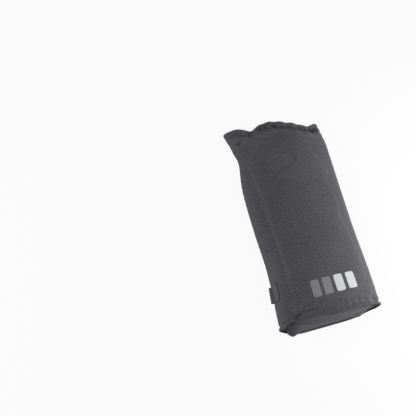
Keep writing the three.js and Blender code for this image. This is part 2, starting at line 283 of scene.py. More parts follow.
    def place(self, arch: Arch, angle: Array, height: Array, depth: Array, inset: Array = 1.0) -> Array:
        """Points of the sleeve.

        Args:
            arch: which arch the points are on.
            angle: angle over the arch, from 0 at the left seam to pi at the right one.
            height: height above the bottom seam.
            depth: depth into the wall from its outer face.
            inset: 1 at the wall, and 0 in the middle of the section.

        Returns:
            Points in millimetres, with x, y and z on the last axis.
        """
        left, right = self.half_widths(height)
        power = self.power(arch, height)
        reach = -np.sign(np.cos(angle)) * np.abs(np.cos(angle)) ** (2 / power)
        share = np.abs(np.sin(angle)) ** (2 / power)
        side = np.where(reach < 0, left, right)
        across = side * reach / (self.width / 2)
        loose = smoothstep(share, self.cloth_from, 1)
        hems = (self.length - height) / self.hem_depth
        gather = self.gather * (1 - smoothstep(hems, self.gather_full, self.gather_from))
        wave = np.sin(2 * math.pi * side * reach / self.gather_pitch)
        seam = self.seam_level(height)
        if arch is Arch.FRONT:
            relief = loose * (self.front_relief(across, height) + gather * wave)
            z = seam + self.seam_gap / 2 + ((self.front_over_seam(height) - depth) * share + relief) * inset
        else:
            pressed = seam - self.seam_gap / 2 - (seam + self.press - depth) * share
            lifted = depth + self.eased(pressed - depth) + loose * gather * (1 + wave)
            z = lerp(seam - self.seam_gap / 2, lifted, inset)
        rim = smoothstep(height / self.length, self.rim_from, 1) * self.rim_rise(arch, across, share)
        slim = lerp(1, self.corner_slim, self.to_mouth(height))
        x = (side - slim * depth) * reach * inset
        y = height - self.length / 2 + rim - self.lean(x, z, height)
        return np.stack(np.broadcast_arrays(x, y, z), axis=-1)


def unit(vectors: Array) -> Array:
    """Vectors scaled to length 1."""
    return vectors / np.maximum(np.linalg.norm(vectors, axis=-1, keepdims=True), 1e-12)


def sample(grid: Array, rows: Array, share: Array, height: Array) -> Array:
    """Bilinear sample of a grid over shares of an arch and heights.

    Args:
        grid: values over even shares of the arch (first axis) and over rows (second axis).
        rows: heights of the grid's rows, even.
        share: shares to sample at.
        height: heights to sample at.

    Returns:
        The values, with the grid's last axis kept.
    """
    u = np.clip(share, 0, 1) * (grid.shape[0] - 1)
    v = np.clip((height - rows[0]) / (rows[-1] - rows[0]), 0, 1) * (grid.shape[1] - 1)
    i = np.minimum(u.astype(int), grid.shape[0] - 2)
    k = np.minimum(v.astype(int), grid.shape[1] - 2)
    du, dv = (u - i)[..., None], (v - k)[..., None]
    low = grid[i, k] * (1 - du) + grid[i + 1, k] * du
    high = grid[i, k + 1] * (1 - du) + grid[i + 1, k + 1] * du
    return low * (1 - dv) + high * dv


@dataclass(frozen=True)
class Crease:
    """A crease of the front panel: where it starts and ends, how high it stands and half its width."""

    start: tuple[float, float]
    end: tuple[float, float]
    rise: float
    wide: float

    def height(self, x: Array, y: Array) -> Array:
        """Height of the crease at points of the front, in millimetres."""
        along = np.array([self.end[0] - self.start[0], self.end[1] - self.start[1]], float)
        long = math.hypot(*along)
        along /= long
        s = (x - self.start[0]) * along[0] + (y - self.start[1]) * along[1]
        off = (x - self.start[0]) * -along[1] + (y - self.start[1]) * along[0]
        ends = smoothstep(s, -0.25 * long, 0.25 * long) * (1 - smoothstep(s, 0.6 * long, 1.3 * long))
        return self.rise * bump(off, 0, self.wide) * ends


CREASES = tuple(Crease(*parts) for parts in (
    ((-84, -108), (-70, -118), -1.2, 2.2),
    ((-74, -146), (-62, -160), -1.3, 2.6),
    ((-66, -152), (-54, -176), 1.8, 4.0),
    ((-34, -158), (-50, -162), -1.8, 3.5),
    ((-50, -161), (-62, -174), -2.0, 3.0),
    ((-33, -171), (-56, -173), -4.4, 2.0),
    ((-55, -172), (-66, -179), -5.0, 2.0),
    ((-79, -182), (-63, -182), -3.0, 1.8),
    ((-80, -176), (-66, -170), 1.2, 3.0),
    ((88, -174), (66, -164), -1.6, 2.4),
    ((92, -166), (70, -156), 1.1, 2.6),
    ((60, -168), (30, -172), -0.7, 2.6),
    ((-70, 161), (-79, 154), -3.8, 2.6),
    ((-74, 168), (-50, 150), 0.9, 5.0),
    ((62, 172), (50, 150), 0.8, 4.0),
))


@dataclass(frozen=True)
class Nip:
    """A place where the cloth beside a side seam is drawn in, or stands out if its rise is above 0.

    rise, reach into the panel, up and long are in millimetres; the last two run up the sleeve.
    """

    rise: float
    up: float
    long: float
    reach: float
    right: bool = False

    def height(self, rows: Array, from_left: Array, from_right: Array) -> Array:
        """Height at rows of the cloth and at distances from both seams."""
        away = from_right if self.right else from_left
        return self.rise * bump(rows, self.up, self.long) * np.exp(-away / self.reach)


def ripple(x: Array, pitch: float, stray: float, over: float, phase: float = 0.0) -> Array:
    """Wave whose crests stray from their even places.

    Args:
        x: distance along the wave.
        pitch: mean distance of its crests.
        stray: how far a crest strays.
        over: slowness of the straying.
        phase: start of the straying.

    Returns:
        The wave, from -1 to 1.
    """
    return np.sin(2 * math.pi * (x + stray * np.sin(x / over + phase)) / pitch)


@dataclass
class Pattern:
    """The cloth's lie on both arches: the map, with its small folds and the simulated ones added.

    grids holds, for each arch, how far each point of the cloth moves off the plain map, over even shares of
    the arch and even heights.
    """

    lie: SleeveMap = field(default_factory=SleeveMap)
    shares: int = 193
    rows: int = 240
    pucker: float = 0.45
    pucker_pitch: float = 11.0
    pucker_reach: float = 9.0
    welt_pitch: float = 13.0
    welt_roll: float = 1.9
    fine_gather: float = 0.45
    fine_pitch: float = 9.5
    deep_gather: float = 1.1
    deep_pitch: float = 16.5
    seam_roll: float = 0.8
    roll_reach: float = 1.6
    seam_dent: float = 0.6
    crest: float = 2.1
    fullness: float = 2.8
    ridge: float = 2.2
    ridge_x: float = -65.5
    ridge_slant: float = 0.045
    ridge_reach: float = 15.0
    corner_drop: float = 5.0
    corner_long: float = 30.0
    rim_calm: float = 0.35
    # over the right bottom corner, by the label, and below the mouth, where the left side stays full
    nips: tuple[Nip, ...] = (
        Nip(-2.4, 15.0, 7.0, 12.0, right=True), Nip(-2.6, 58.0, 13.0, 10.0), Nip(4.0, 320.0, 13.0, 12.0),
    )
    # the rim's corners: how far each stands up, its x and half its width
    rim_corners: tuple[tuple[float, float, float], ...] = ((3.5, 88.0, 12.0), (3.0, -97.0, 13.0))
    grids: dict[Arch, Array] = field(default_factory=dict)

    def heights(self) -> Array:
        """Heights of the grids' rows."""
        return np.linspace(0, self.lie.length, self.rows)

    def plain(self, arch: Arch) -> tuple[Array, Array]:
        """The plain outer face over the grid.

        Args:
            arch: which arch.

        Returns:
            The points and the outward normals.
        """
        share = np.linspace(0, 1, self.shares)
        rows = self.heights()
        angles = np.stack([self.lie.even_angles(arch, height, share) for height in rows], axis=1)
        points = self.lie.place(arch, angles, rows[None, :], 0.0)
        normals = unit(np.cross(np.gradient(points, axis=0), np.gradient(points, axis=1)))
        return points, normals if arch is Arch.FRONT else -normals

    def puckers(self, arch: Arch, points: Array) -> Array:
        """Small folds of the outer cloth, as a height along its normal, in millimetres.

        Args:
            arch: which arch.
            points: points of the plain outer face.

        Returns:
            The height of the folds at each point.
        """
        front = arch is Arch.FRONT
        top = self.lie.length
        rows = self.heights()[None, :]
        arc = np.linspace(0, 1, self.shares)[:, None] * ARC[arch]
        from_right = arc[-1, 0] - arc
        from_seam = np.minimum(arc, from_right)
        # short puckers along the side seams, where the thread draws the cloth in
        draw = ripple(rows, self.pucker_pitch, 3.0, 31.0, 1.0 if front else 2.2)
        draw = draw * (0.6 + 0.4 * np.sin(rows / 17.0))
        side = self.pucker * draw * np.exp(-from_seam / self.pucker_reach) * smoothstep(from_seam, 0.0, 3.0)
        # and along the bottom seam, over the welt
        low = ripple(arc, self.welt_pitch, 2.5, 19.0) * (0.6 + 0.4 * np.sin(arc / 23.0 + 1.0))
        bottom = 0.8 * self.pucker * low * bump(rows, 8.0, 9.0)
        bottom = bottom + self.welt_roll * bump(rows, 1.8, 2.2) - 0.9 * self.welt_roll * bump(rows, 6.5, 2.0)
        # gathers over the elastic: fine ones, and deep ones that come and go
        deep = ripple(arc, self.deep_pitch, 3.1, 17.0, 0.8)
        slow = 0.5 + 0.5 * np.sin(arc / 15.5 + 0.9)
        band = smoothstep(rows, top - 24, top - 12) * (1 - smoothstep(rows, top - 7, top - 2))
        hem = self.fine_gather * ripple(arc, self.fine_pitch, 1.7, 11.0) + self.deep_gather * deep * slow
        hem = hem * band * smoothstep(from_seam, 4.0, 14.0)
        # the cloth rolls over into the side seams, and a dent runs beside them, over their turnings
        roll = -self.seam_roll * np.exp(-from_seam / self.roll_reach)
        roll = roll - self.seam_dent * bump(from_seam, 4.4, 1.5) * (0.75 + 0.25 * draw)
        nip = sum(each.height(rows, arc, from_right) for each in self.nips)
        # low soft waves in the body, from the way the sleeve is held
        soft = (
            0.35 * np.sin(arc / 21.0 + rows / 55.0 + 0.4) * np.sin(rows / 41.0 + 0.9)
            + 0.15 * np.sin(arc / 11.0 - rows / 37.0 + 1.3) * np.sin(rows / 27.0)
        ) * smoothstep(from_seam, 6, 40)
        if not front:
            resting = smoothstep(points[..., 2], 0.4, 4.0)
            return (side + bottom + hem + 0.5 * soft) * resting + roll + nip
        hem = hem * (0.2 + 1.2 * smoothstep(arc, 56.0, 82.0))
        # the front is full over the foam's upper end, and falls off it to the elastic
        crest = self.crest * (bump(rows, top - 19.0, 6.0) - 0.9 * bump(rows, top - 8.0, 5.0))
        crest = crest * smoothstep(from_seam, 8.0, 26.0)
        full = self.fullness * bump(points[..., 0], -8.0, 46.0) * smoothstep(rows, 20.0, 90.0)
        full = full * (1 - smoothstep(rows, top - 60.0, top - 22.0))
        return side + bottom + hem + soft + roll + crest + nip + full

    def creases(self, points: Array) -> Array:
        """Creases of the front panel, as a height along its normal, in millimetres.

        Args:
            points: points of the plain outer face, in millimetres.

        Returns:
            The height of the creases at each point.
        """
        x, y = points[..., 0], points[..., 1]
        total = sum(crease.height(x, y) for crease in CREASES)
        # the front's left edge stands over the side wall along one long fold
        off = x - (self.ridge_x - self.ridge_slant * y)
        side = (1 - smoothstep(off, -4.0, 3.0)) * bump(np.minimum(off, 0), 0, self.ridge_reach)
        ends = smoothstep(y, -172.0, -120.0) * (1 - smoothstep(y, 60.0, 150.0))
        return total - self.ridge * side * ends

    def make(self, settling: "Settling | None") -> None:
        """Works out both grids.

        Args:
            settling: the simulation whose result is added, or None to leave it out.
        """
        rows = self.heights()[None, :]
        top = self.lie.length
        calm = smoothstep(rows, -3.0, 2.0) * (1 - self.rim_calm * smoothstep(rows, top - 3, top))
        for arch in Arch:
            points, normals = self.plain(arch)
            height = self.puckers(arch, points)
            if arch is Arch.FRONT:
                height = height + self.creases(points)
            if settling is not None:
                height = height + settling.settle(self, arch, points, normals)
            grid = normals * (height * calm)[..., None]
            for rise, at, wide in self.rim_corners:
                corner = rise * bump(points[..., 0], at, wide)
                grid[..., 1] += corner * smoothstep(rows, top - self.corner_long, top)
            # the front hangs down beside the left bottom corner
            if arch is Arch.FRONT:
                drop = self.corner_drop * bump(np.linspace(0, ARC[arch], self.shares), 14.0, 9.0)[:, None]
                grid[..., 1] -= drop * (1 - smoothstep(rows, 0, self.corner_long))
            self.grids[arch] = grid

    def moved(
        self, arch: Arch, share: Array, angles: Array, height: Array, depth: Array, inset: Array,
    ) -> Array:
        """Points of a layer whose angles over the arch are given.

        Args:
            arch: which arch.
            share: shares of the arch, one for each column.
            angles: angles over the arch, over columns and rows.
            height: one height for each row.
            depth: one depth for each row.
            inset: 1 at the wall and 0 in the middle of the section, one for each row.

        Returns:
            Points over columns and rows, in millimetres.
        """
        plain = self.lie.place(arch, angles, height[None, :], depth[None, :], inset[None, :])
        where = np.broadcast_arrays(share[:, None], height[None, :])
        return plain + sample(self.grids[arch], self.heights(), *where) * (inset[None, :, None] ** 2)

    def points(self, arch: Arch, share: Array, height: Array, depth: Array) -> Array:
        """Points of a layer of the wall, at even shares of its arch.

        Args:
            arch: which arch.
            share: shares of the arch, one for each column.
            height: one height for each row.
            depth: one depth for each row.

        Returns:
            Points over columns and rows, in millimetres.
        """
        angles = np.stack([self.lie.even_angles(arch, each, share) for each in height], axis=1)
        return self.moved(arch, share, angles, height, depth, np.ones(len(height)))


def placed(name: str, data: bpy.types.ID) -> Piece:
    """A new object in the scene.

    Args:
        name: its name.
        data: its mesh, camera or lamp.

    Returns:
        The object.
    """
    obj = bpy.data.objects.new(name, data)
    bpy.context.scene.collection.objects.link(obj)
    return obj


def quads(a: Array, b: Array, c: Array, d: Array) -> Array:
    """Quads from four arrays of corners."""
    return np.stack([a, b, c, d], axis=-1).reshape(-1, 4)


@dataclass(frozen=True)
class Settling:
    """Settling of the outer cloth over its padding, with Blender's cloth.

    Only a small part of the result is kept: it is smoothed in a number of passes, and inward and outward cap
    it, in millimetres.
    """

    columns: int = 57
    rows: int = 105
    frames: int = 24
    passes: int = 9
    inward: float = 0.6
    outward: float = 0.9
    settings: tuple[tuple[str, object], ...] = (
        ("quality", 5), ("mass", 0.15), ("tension_stiffness", 20), ("compression_stiffness", 20),
        ("shear_stiffness", 8), ("bending_stiffness", 0.6), ("tension_damping", 12),
        ("compression_damping", 12), ("air_damping", 4), ("vertex_group_mass", "sewn"),
        ("shrink_min", -0.035), ("use_pressure", True), ("uniform_pressure_force", 1.6),
    )

    def run(self, start: Array, faces: Array) -> Array:
        """Runs the cloth of one arch, sewn down along its edges.

        Args:
            start: its points over columns and rows, in millimetres.
            faces: its quads.

        Returns:
            How far each point has moved, in millimetres.
        """
        mesh = bpy.data.meshes.new("settling_cloth")
        mesh.from_pydata((start.reshape(-1, 3) * MM).tolist(), [], faces.tolist())
        cloth = placed("settling_cloth", mesh)
        held = np.zeros(start.shape[:2], bool)
        held[[0, -1], :] = True
        held[:, [0, -1]] = True
        sewn = cloth.vertex_groups.new(name="sewn")
        sewn.add(np.flatnonzero(held).tolist(), 1.0, "REPLACE")
        modifier = cloth.modifiers.new("Cloth", "CLOTH")
        for name, value in self.settings:
            setattr(modifier.settings, name, value)
        modifier.settings.effector_weights.gravity = 0
        modifier.collision_settings.use_collision = False
        modifier.collision_settings.use_self_collision = False
        modifier.point_cache.frame_start = 1
        modifier.point_cache.frame_end = self.frames
        for step in range(1, self.frames + 1):
            bpy.context.scene.frame_set(step)
        found = np.zeros(start.size)
        settled = cloth.evaluated_get(bpy.context.evaluated_depsgraph_get())
        settled.data.vertices.foreach_get("co", found)
        bpy.context.scene.frame_set(1)
        bpy.data.objects.remove(cloth)
        bpy.data.meshes.remove(mesh)
        return found.reshape(start.shape) / MM - start

    def settle(self, pattern: Pattern, arch: Arch, points: Array, normals: Array) -> Array:
        """Works out what the settling adds to one arch.

        Args:
            pattern: the cloth's plain lie.
            arch: which arch.
            points: points of the plain outer face over the pattern's grid, in millimetres.
            normals: their outward normals.

        Returns:
            The move of each point of the pattern's grid along its normal, in millimetres.
        """
        u = np.linspace(0, points.shape[0] - 1, self.columns).round().astype(int)
        v = np.linspace(0, points.shape[1] - 1, self.rows).round().astype(int)
        start, out = points[np.ix_(u, v)], normals[np.ix_(u, v)]
        index = np.arange(start.shape[0] * start.shape[1]).reshape(start.shape[:2])
        faces = quads(index[:-1, :-1], index[1:, :-1], index[1:, 1:], index[:-1, 1:])
        off = (self.run(start, faces if arch is Arch.FRONT else faces[:, ::-1]) * out).sum(-1)
        log.info("cloth of the %s: moves %.1f to %.1f mm", arch.value, off.min(), off.max())
        off = off - off.mean()
        for axis in (0, 1) * self.passes:
            near = np.take(off, [0, *range(off.shape[axis] - 1)], axis)
            far = np.take(off, [*range(1, off.shape[axis]), off.shape[axis] - 1], axis)
            off = (near + 2 * off + far) / 4
        cap = np.where(off > 0, self.outward, self.inward)
        capped = cap * np.tanh(off / cap)
        share, height = np.broadcast_arrays(
            np.linspace(0, 1, points.shape[0])[:, None], pattern.heights()[None, :],
        )
        top = pattern.lie.length
        fine = sample(capped[..., None], np.linspace(0, top, self.rows), share, height)[..., 0]
        edge = smoothstep(np.minimum(share, 1 - share), 0.0, 0.06)
        ends = smoothstep(height, 3, 22) * (1 - smoothstep(height, top - 34, top - 12))
        resting = smoothstep(points[..., 2], 0.4, 5.0) if arch is Arch.BACK else 1.0
        return fine * edge * ends * resting


def cloth_mesh(name: str, points: Array, faces: Array, fans: Array, uv: Array) -> Piece:
    """Smooth closed mesh with the cloth's own coordinates.

    Args:
        name: name of the object.
        points: its points, in millimetres.
        faces: its quads.
        fans: its triangles.
        uv: the cloth's own coordinates at each point, in millimetres.

    Returns:
        The object, with its place in its mesh and faces that point outwards.
    """
    points = points * MM
    split = np.concatenate([faces[:, [0, 1, 2]], faces[:, [0, 2, 3]], fans])
    a, b, c = (points[split[:, k]] for k in range(3))
    way = -1 if (a * np.cross(b, c)).sum() < 0 else 1
    mesh = bpy.data.meshes.new(name)
    mesh.from_pydata(points.tolist(), [], [face[::way] for face in faces.tolist() + fans.tolist()])
    corners = np.zeros(len(mesh.loops), int)
    mesh.loops.foreach_get("vertex_index", corners)
    mesh.uv_layers.new(name=OWN).data.foreach_set("uv", (uv[corners] * MM).reshape(-1))
    mesh.polygons.foreach_set("use_smooth", np.ones(len(mesh.polygons), bool))
    mesh.set_sharp_from_angle(angle=math.radians(SHARP_FROM))
    mesh.validate()
    return placed(name, mesh)


def wall_mesh(name: str, outer: Array, inner: Array, along: Array, arc: float, closed: bool = False) -> Piece:
    """Closed wall between two grids of points.

    Args:
        name: name of the object.
        outer: points of the outer face over columns and rows, in millimetres.
        inner: points of the inner face.
        along: distance of each row along the cloth, in millimetres, for the cloth's own coordinates.
        arc: width of the cloth across its columns, in millimetres.
        closed: whether the last column joins the first one.

    Returns:
        The object.
    """
    columns, rows = outer.shape[:2]
    count = columns * rows
    grid = np.arange(count).reshape(columns, rows)
    after = np.roll(grid, -1, axis=0) if closed else grid[1:]
    here = grid if closed else grid[:-1]
    faces = [
        quads(here[:, :-1], after[:, :-1], after[:, 1:], here[:, 1:]),
        quads(here[:, 1:] + count, after[:, 1:] + count, after[:, :-1] + count, here[:, :-1] + count),
        quads(here[:, 0], here[:, 0] + count, after[:, 0] + count, after[:, 0]),
        quads(here[:, -1], after[:, -1], after[:, -1] + count, here[:, -1] + count),
    ]
    if not closed:
        first, last = grid[0], grid[-1]
        faces.append(quads(first[:-1], first[1:], first[1:] + count, first[:-1] + count))
        faces.append(quads(last[:-1], last[:-1] + count, last[1:] + count, last[1:]))
    across = np.linspace(-0.5, 0.5, columns, endpoint=not closed) * arc
    uv = np.stack(np.broadcast_arrays(across[:, None], along[None, :]), axis=-1).reshape(-1, 2)
    points = np.concatenate([outer.reshape(-1, 3), inner.reshape(-1, 3)])
    return cloth_mesh(name, points, np.concatenate(faces), np.zeros((0, 3), int), np.concatenate([uv, uv]))


@dataclass(frozen=True)
class Section:
    """Path of a cloth through the wall of the sleeve: heights and depths of its middle, and its thickness."""

    height: Array
    depth: Array
    thick: float

    def faces(self) -> tuple[Array, Array, Array]:
        """Both faces of the cloth along its path.

        Returns:
            Heights and depths of the outer face, the same of the inner one, and the distance along the path.
        """
        line = np.stack([self.height, self.depth], axis=-1)
        out, along = beside(line, self.thick / 2)
        return line + out, line - out, along


def beside(line: Array, away: float) -> tuple[Array, Array]:
    """Sideways steps from a flat line.

    Args:
        line: its points, with two numbers each.
        away: length of the steps.

    Returns:
        The step at each point, to the right of the line, and the distance of each point along it.
    """
    step = unit(np.gradient(line, axis=0))
    along = np.concatenate([[0], np.cumsum(np.linalg.norm(np.diff(line, axis=0), axis=-1))])
    return np.stack([step[:, 1], -step[:, 0]], axis=-1) * away, along


def turn(centre: tuple[float, float], radius: float, start: float, end: float, steps: int) -> list:
    """Points of a round fold.

    Args:
        centre: height and depth of the fold's middle.
        radius: radius of the cloth's middle in the fold.
        start: first angle, in degrees; 0 points up the sleeve and 90 into it.
        end: last angle.
        steps: number of steps.

    Returns:
        Heights and depths along the fold, without its first and last point.
    """
    angles = np.radians(np.linspace(start, end, steps + 1)[1:-1])
    return [(centre[0] + radius * math.cos(a), centre[1] + radius * math.sin(a)) for a in angles]


@dataclass
class BodyCloth:
    """Front or back panel of the outer cloth, with its hem and the welt over the bottom seam."""

    arch: Arch
    pattern: Pattern
    columns: int
    thick: float = 0.9
    row_step: float = 1.5
    welt_leg: float = 9.0
    welt_depth: float = 1.55
    hem_leg_depth: float = 3.7
    fold_steps: int = 8

    def section(self) -> Section:
        """Path of the cloth: up out of the bottom seam, up the outside, round the rim and down inside."""
        lie = self.pattern.lie
        near = self.thick / 2
        welt = (self.welt_depth - near) / 2
        hem = (self.hem_leg_depth - near) / 2
        low = near + welt
        top = lie.length - near - hem
        path = [(height, self.welt_depth) for height in np.linspace(self.welt_leg, low, 5)]
        path += turn((low, near + welt), welt, 90, 270, self.fold_steps)
        path += [(height, near) for height in np.arange(low, top, self.row_step)] + [(top, near)]
        path += turn((top, near + hem), hem, -90, 90, self.fold_steps + 2)
        path += [(height, self.hem_leg_depth) for height in np.linspace(top, lie.length - lie.hem_depth, 7)]
        height, depth = np.array(path).T
        return Section(height, depth, self.thick)

    def build(self) -> Piece:
        """Builds the panel."""
        name = f"{self.arch.value}_cloth"
        return SoftWall(name, self.pattern, self.columns, self.section()).build(self.arch)


@dataclass
class SoftWall:
    """A layer of the wall, swept over one arch or right round the sleeve."""

    name: str
    pattern: Pattern
    columns: int
    path: Section
    round_arc: float = 380.0

    def build(self, arch: Arch | None) -> Piece:
        """Builds the layer.

        Args:
            arch: which arch it covers, or None for a band right round.

        Returns:
            The layer's object.
        """
        outer, inner, along = self.path.faces()
        share = np.linspace(0, 1, self.columns)
        faces = []
        for side in (outer, inner):
            parts = [self.pattern.points(each, share, *side.T) for each in Arch if arch in (each, None)]
            faces.append(np.concatenate([parts[0], *(part[::-1][1:-1] for part in parts[1:])]))
        return wall_mesh(self.name, *faces, along, ARC.get(arch, self.round_arc), closed=arch is None)


def slab_path(low: float, high: float, depth: float, thick: float, step: float, round_by: float) -> Section:
    """Path of a straight layer whose ends are a little thinner, as cut foam's are.

    Args:
        low: height of its lower end.
        high: height of its upper end.
        depth: depth of its middle.
        thick: its thickness.
        step: distance of its rows.
        round_by: distance over which its ends are rounded.

    Returns:
        The path. Its rows are closer together at the ends.
    """
    body = np.arange(low + round_by, high - round_by, step)
    near = 0.4 * round_by
    heights = np.concatenate([[low, low + near], body, [high - round_by, high - near, high]])
    return Section(heights, np.full(len(heights), depth), thick)


@dataclass
class BottomPiece:
    """A layer across the bottom end, from its middle out to the wall, with or without a turned-up edge."""

    name: str
    pattern: Pattern
    low: float
    thick: float
    depth: float
    front_columns: int = 97
    back_columns: int = 73
    rings: int = 30
    rise_to: float | None = None
    edge_rows: int = 5
    belly: float = 2.5
    waves: float = 0.5
    drag: float = 0.4
    gap: float = 4.2
    corner_gap: float = 4.0
    tuck: float = 6.0
    # the bulges beside both corners: depth, then x and z, each with half the width
    bulges: tuple[tuple[float, tuple[float, float], tuple[float, float]], ...] = (
        (8.0, (-63.0, 11.0), (6.0, 12.0)), (5.0, (64.0, 9.0), (7.0, 12.0)),
    )

    def lift(self, points: Array, rim: Array, inset: Array) -> Array:
        """How far the flat part stands in from its plain lie, up the sleeve.

        Args:
            points: points over spokes and rings, in millimetres.
            rim: the wall's outer face on the same spokes.
            inset: 1 at the wall and 0 in the middle, one for each ring.

        Returns:
            The rise of each point.
        """
        x, z = points[..., 0], points[..., 2]
        spoke = np.linspace(0, 2 * math.pi, len(points), endpoint=False)[:, None]
        corners = bump(x, -74.0, 26.0) + 0.6 * bump(x, 80.0, 20.0)
        edge = smoothstep(inset, 0.35, 0.95)[None, :]
        waves = np.sin(19 * spoke + 1.4 * np.sin(5 * spoke)) * edge * (0.15 + corners)
        drag = np.sin(z / 4.6 + x / 33.0 + 0.9 * np.sin(x / 19.0)) * smoothstep(1 - inset, 0.02, 0.3)[None, :]
        # a gap under the front's welt, deeper beside the left corner
        away = np.hypot(rim[..., 0] - x, rim[..., 2] - z)
        gap = self.gap * bump(away, 11.0, 6.5) * (0.7 + 0.3 * bump(rim[..., 0], -60.0, 18.0))
        gap = gap + self.corner_gap * bump(away, 7.0, 4.0) * bump(rim[..., 0], -57.0, 9.0)
        gap = gap * smoothstep(rim[..., 2], 34.0, 46.0)
        # the left corner is tucked in, beyond its bulge
        tuck = self.tuck * (1 - smoothstep(x, -82.0, -68.0))
        sag = sum(deep * bump(x, *across) * bump(z, *up) for deep, across, up in self.bulges)
        return self.waves * waves + self.drag * drag + gap + tuck - sag

    def spokes(self, low: float, depth: float) -> Array:
        """Points from the middle out to the edge and up it.

        Args:
            low: height of the face at the wall.
            depth: depth of its edge in the wall.

        Returns:
            Points over spokes and rings, in millimetres.
        """
        inset = np.linspace(0, 1, self.rings + 1) ** 0.8
        height = low - self.belly * (1 - inset ** 2)
        if self.rise_to is not None:
            height = np.concatenate([height, np.linspace(low, self.rise_to, self.edge_rows + 1)[1:]])
            inset = np.concatenate([inset, np.ones(self.edge_rows)])
        spokes, rims = [], []
        for arch, count in ((Arch.FRONT, self.front_columns), (Arch.BACK, self.back_columns)):
            share = np.linspace(0, 1, count)
            angles = self.pattern.lie.even_angles(arch, 0.0, share)[:, None]
            points = self.pattern.moved(arch, share, angles, height, np.full(len(height), depth), inset)
            rim = self.pattern.lie.place(arch, angles, height[None, :], 0.0)
            for group, each in ((spokes, points), (rims, rim)):
                group.append(each[:-1] if arch is Arch.FRONT else each[::-1][:-1])
        points, rim = np.concatenate(spokes), np.concatenate(rims)
        points[..., 1] += self.lift(points, rim, inset) * (1 - smoothstep(height, low + 1, low + 6))[None, :]
        return points

    def build(self) -> Piece:
        """Builds the layer as a closed mesh: both faces, each with a fan in its middle, and the edge."""
        both = [self.spokes(self.low + into, self.depth + into) for into in (0, self.thick)]
        rings = [each[:, 1:] for each in both]
        count, rows = rings[0].shape[:2]
        grid = np.arange(count * rows).reshape(count, rows)
        after = np.roll(grid, -1, axis=0)
        second, centre = count * rows, 2 * count * rows
        low = quads(grid[:, :-1], after[:, :-1], after[:, 1:], grid[:, 1:])
        rim = quads(grid[:, -1], after[:, -1], after[:, -1] + second, grid[:, -1] + second)
        faces = np.concatenate([low, low[:, ::-1] + second, rim])
        fans = [[centre, b, a] for a, b in zip(grid[:, 0], after[:, 0])]
        fans += [[centre + 1, a + second, b + second] for a, b in zip(grid[:, 0], after[:, 0])]
        middles = [each[:, 0].mean(axis=0) for each in both]
        points = np.concatenate([*(each.reshape(-1, 3) for each in rings), middles])
        return cloth_mesh(self.name, points, faces, np.array(fans), points[:, [0, 2]])


def turned(x: Array, y: Array, angle: float) -> tuple[Array, Array]:
    """Flat points turned round their origin."""
    return x * math.cos(angle) - y * math.sin(angle), x * math.sin(angle) + y * math.cos(angle)


@dataclass
class SeamLabel:
    """Woven label: a ribbon folded in two over the left side seam, sewn down on the side of the front."""

    pattern: Pattern
    start: float = 44.0
    width: float = 28.0
    reach: float = 7.0
    droop: float = 0.32
    ply: float = 0.8
    bend: float = 0.9
    tail: float = 22.0
    tail_from: float = 1.2
    let_in: float = -0.1
    sunk: float = -0.5
    wave: float = 0.35
    curl: float = 0.5
    across: int = 24

    def loop(self) -> Array:
        """Middle line of the loose fold: out from the seam, round, and back below itself."""
        radius = self.bend + self.ply / 2
        fold = -self.reach + self.bend + self.ply
        line = [(x, radius) for x in np.linspace(self.let_in, fold, 7)[:-1]]
        line += [(fold - radius * math.sin(a), radius * math.cos(a)) for a in np.linspace(0, math.pi, 11)]
        return np.array(line + [(x, -radius) for x in np.linspace(fold, self.let_in, 7)[1:]])

    def build(self) -> Piece:
        """Builds the ribbon."""
        ends = self.start + np.array([0.0, 0.5, 1.0]) * self.width
        low, mid, high = self.pattern.points(Arch.FRONT, np.zeros(1), ends, np.zeros(3))[0]
        bow = min(0.0, mid[0] - (low[0] + high[0]) / 2)
        tilt = -math.atan2(high[0] - low[0], high[1] - low[1])
        line = self.loop()
        out, along = beside(line, self.ply / 2)
        rows = np.linspace(0, 1, self.across)
        heights = self.start + rows * self.width
        tail = np.linspace(self.tail, self.tail_from, 8) / ARC[Arch.FRONT]
        along = np.concatenate([np.linspace(-self.tail, 0, 9)[:-1], along]) + self.tail
        faces = []
        for side, over in ((line - out, self.sunk - self.ply), (line + out, self.sunk)):
            flap = np.clip(-side[:, 0] / self.reach, 0, 1)
            wave = self.wave * np.sin(rows * 5.0 + 0.7)[:, None] * flap[None, :]
            curl = self.curl * ((rows - 0.5) ** 2 * 4)[:, None] * flap[None, :] ** 2
            x, z = turned(side[None, :, 0], side[None, :, 1] + wave - curl, self.droop)
            x, y = turned(x, np.broadcast_to((rows * self.width)[:, None], wave.shape), tilt)
            loose = np.stack([x + low[0] + bow - self.pattern.lie.seam_gap, y + low[1], z + mid[2]], axis=-1)
            sewn = self.pattern.points(Arch.FRONT, tail, heights, np.full(len(heights), over))
            faces.append(np.concatenate([sewn.transpose(1, 0, 2), loose], axis=1))
        return wall_mesh("seam_label", *faces, along, self.width)


